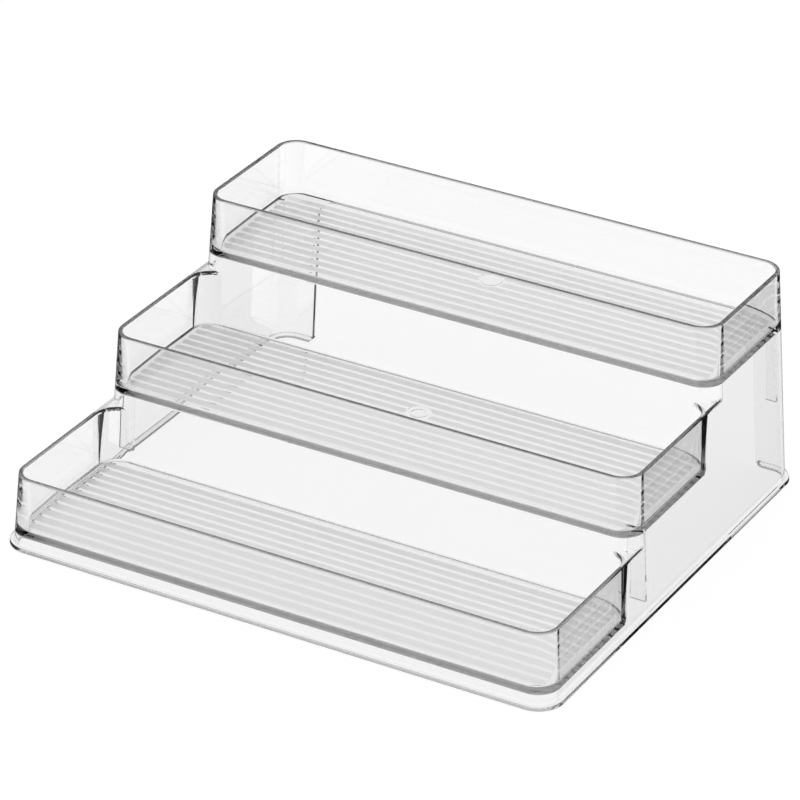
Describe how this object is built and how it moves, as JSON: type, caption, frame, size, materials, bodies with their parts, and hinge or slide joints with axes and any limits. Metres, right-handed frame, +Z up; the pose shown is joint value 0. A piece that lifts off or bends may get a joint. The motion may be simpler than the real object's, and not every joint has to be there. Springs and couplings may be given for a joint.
{
  "type": "tiered shelf riser",
  "caption": "Clear plastic stepped shelf riser with open trays on rising tiers and a hollow underside open to the rear, for jars and tins in a cupboard.",
  "frame": {"origin": "centre of the footprint, on the surface that the riser stands on", "axes": "+X to the right along the trays, +Y to the rear, where the highest tray is, +Z up"},
  "size_m": [0.3116, 0.2714, 0.1208],
  "materials": {
    "clear_plastic": "clear, glossy, colourless with a faint grey tint at thick edges"
  },
  "bodies": {
    "root": {"front_flange": "clear_plastic", "front_left_corner": "clear_plastic", "front_left_web": "clear_plastic", "front_right_corner": "clear_plastic", "front_right_web": "clear_plastic", "front_tray_floor": "clear_plastic", "front_tray_left_curve": "clear_plastic", "front_tray_ribs": "clear_plastic", "front_tray_right_curve": "clear_plastic", "front_wall": "clear_plastic", "left_flange": "clear_plastic", "left_front_side": "clear_plastic", "left_middle_side": "clear_plastic", "left_rear_return": "clear_plastic", "left_rear_side": "clear_plastic", "middle_gate_ring": "clear_plastic", "middle_left_corner": "clear_plastic", "middle_left_stacking_rib": "clear_plastic", "middle_left_web": "clear_plastic", "middle_right_corner": "clear_plastic", "middle_right_stacking_rib": "clear_plastic", "middle_right_web": "clear_plastic", "middle_riser": "clear_plastic", "middle_tray_floor": "clear_plastic", "middle_tray_left_curve": "clear_plastic", "middle_tray_ribs": "clear_plastic", "middle_tray_right_curve": "clear_plastic", "rear_left_corner": "clear_plastic", "rear_right_corner": "clear_plastic", "rear_wall": "clear_plastic", "right_flange": "clear_plastic", "right_front_side": "clear_plastic", "right_middle_side": "clear_plastic", "right_rear_return": "clear_plastic", "right_rear_side": "clear_plastic", "top_gate_disc": "clear_plastic", "top_left_corner": "clear_plastic", "top_left_stacking_rib": "clear_plastic", "top_right_corner": "clear_plastic", "top_right_stacking_rib": "clear_plastic", "top_riser": "clear_plastic", "top_tray_floor": "clear_plastic", "top_tray_ribs": "clear_plastic"}
  },
  "joints": []
}
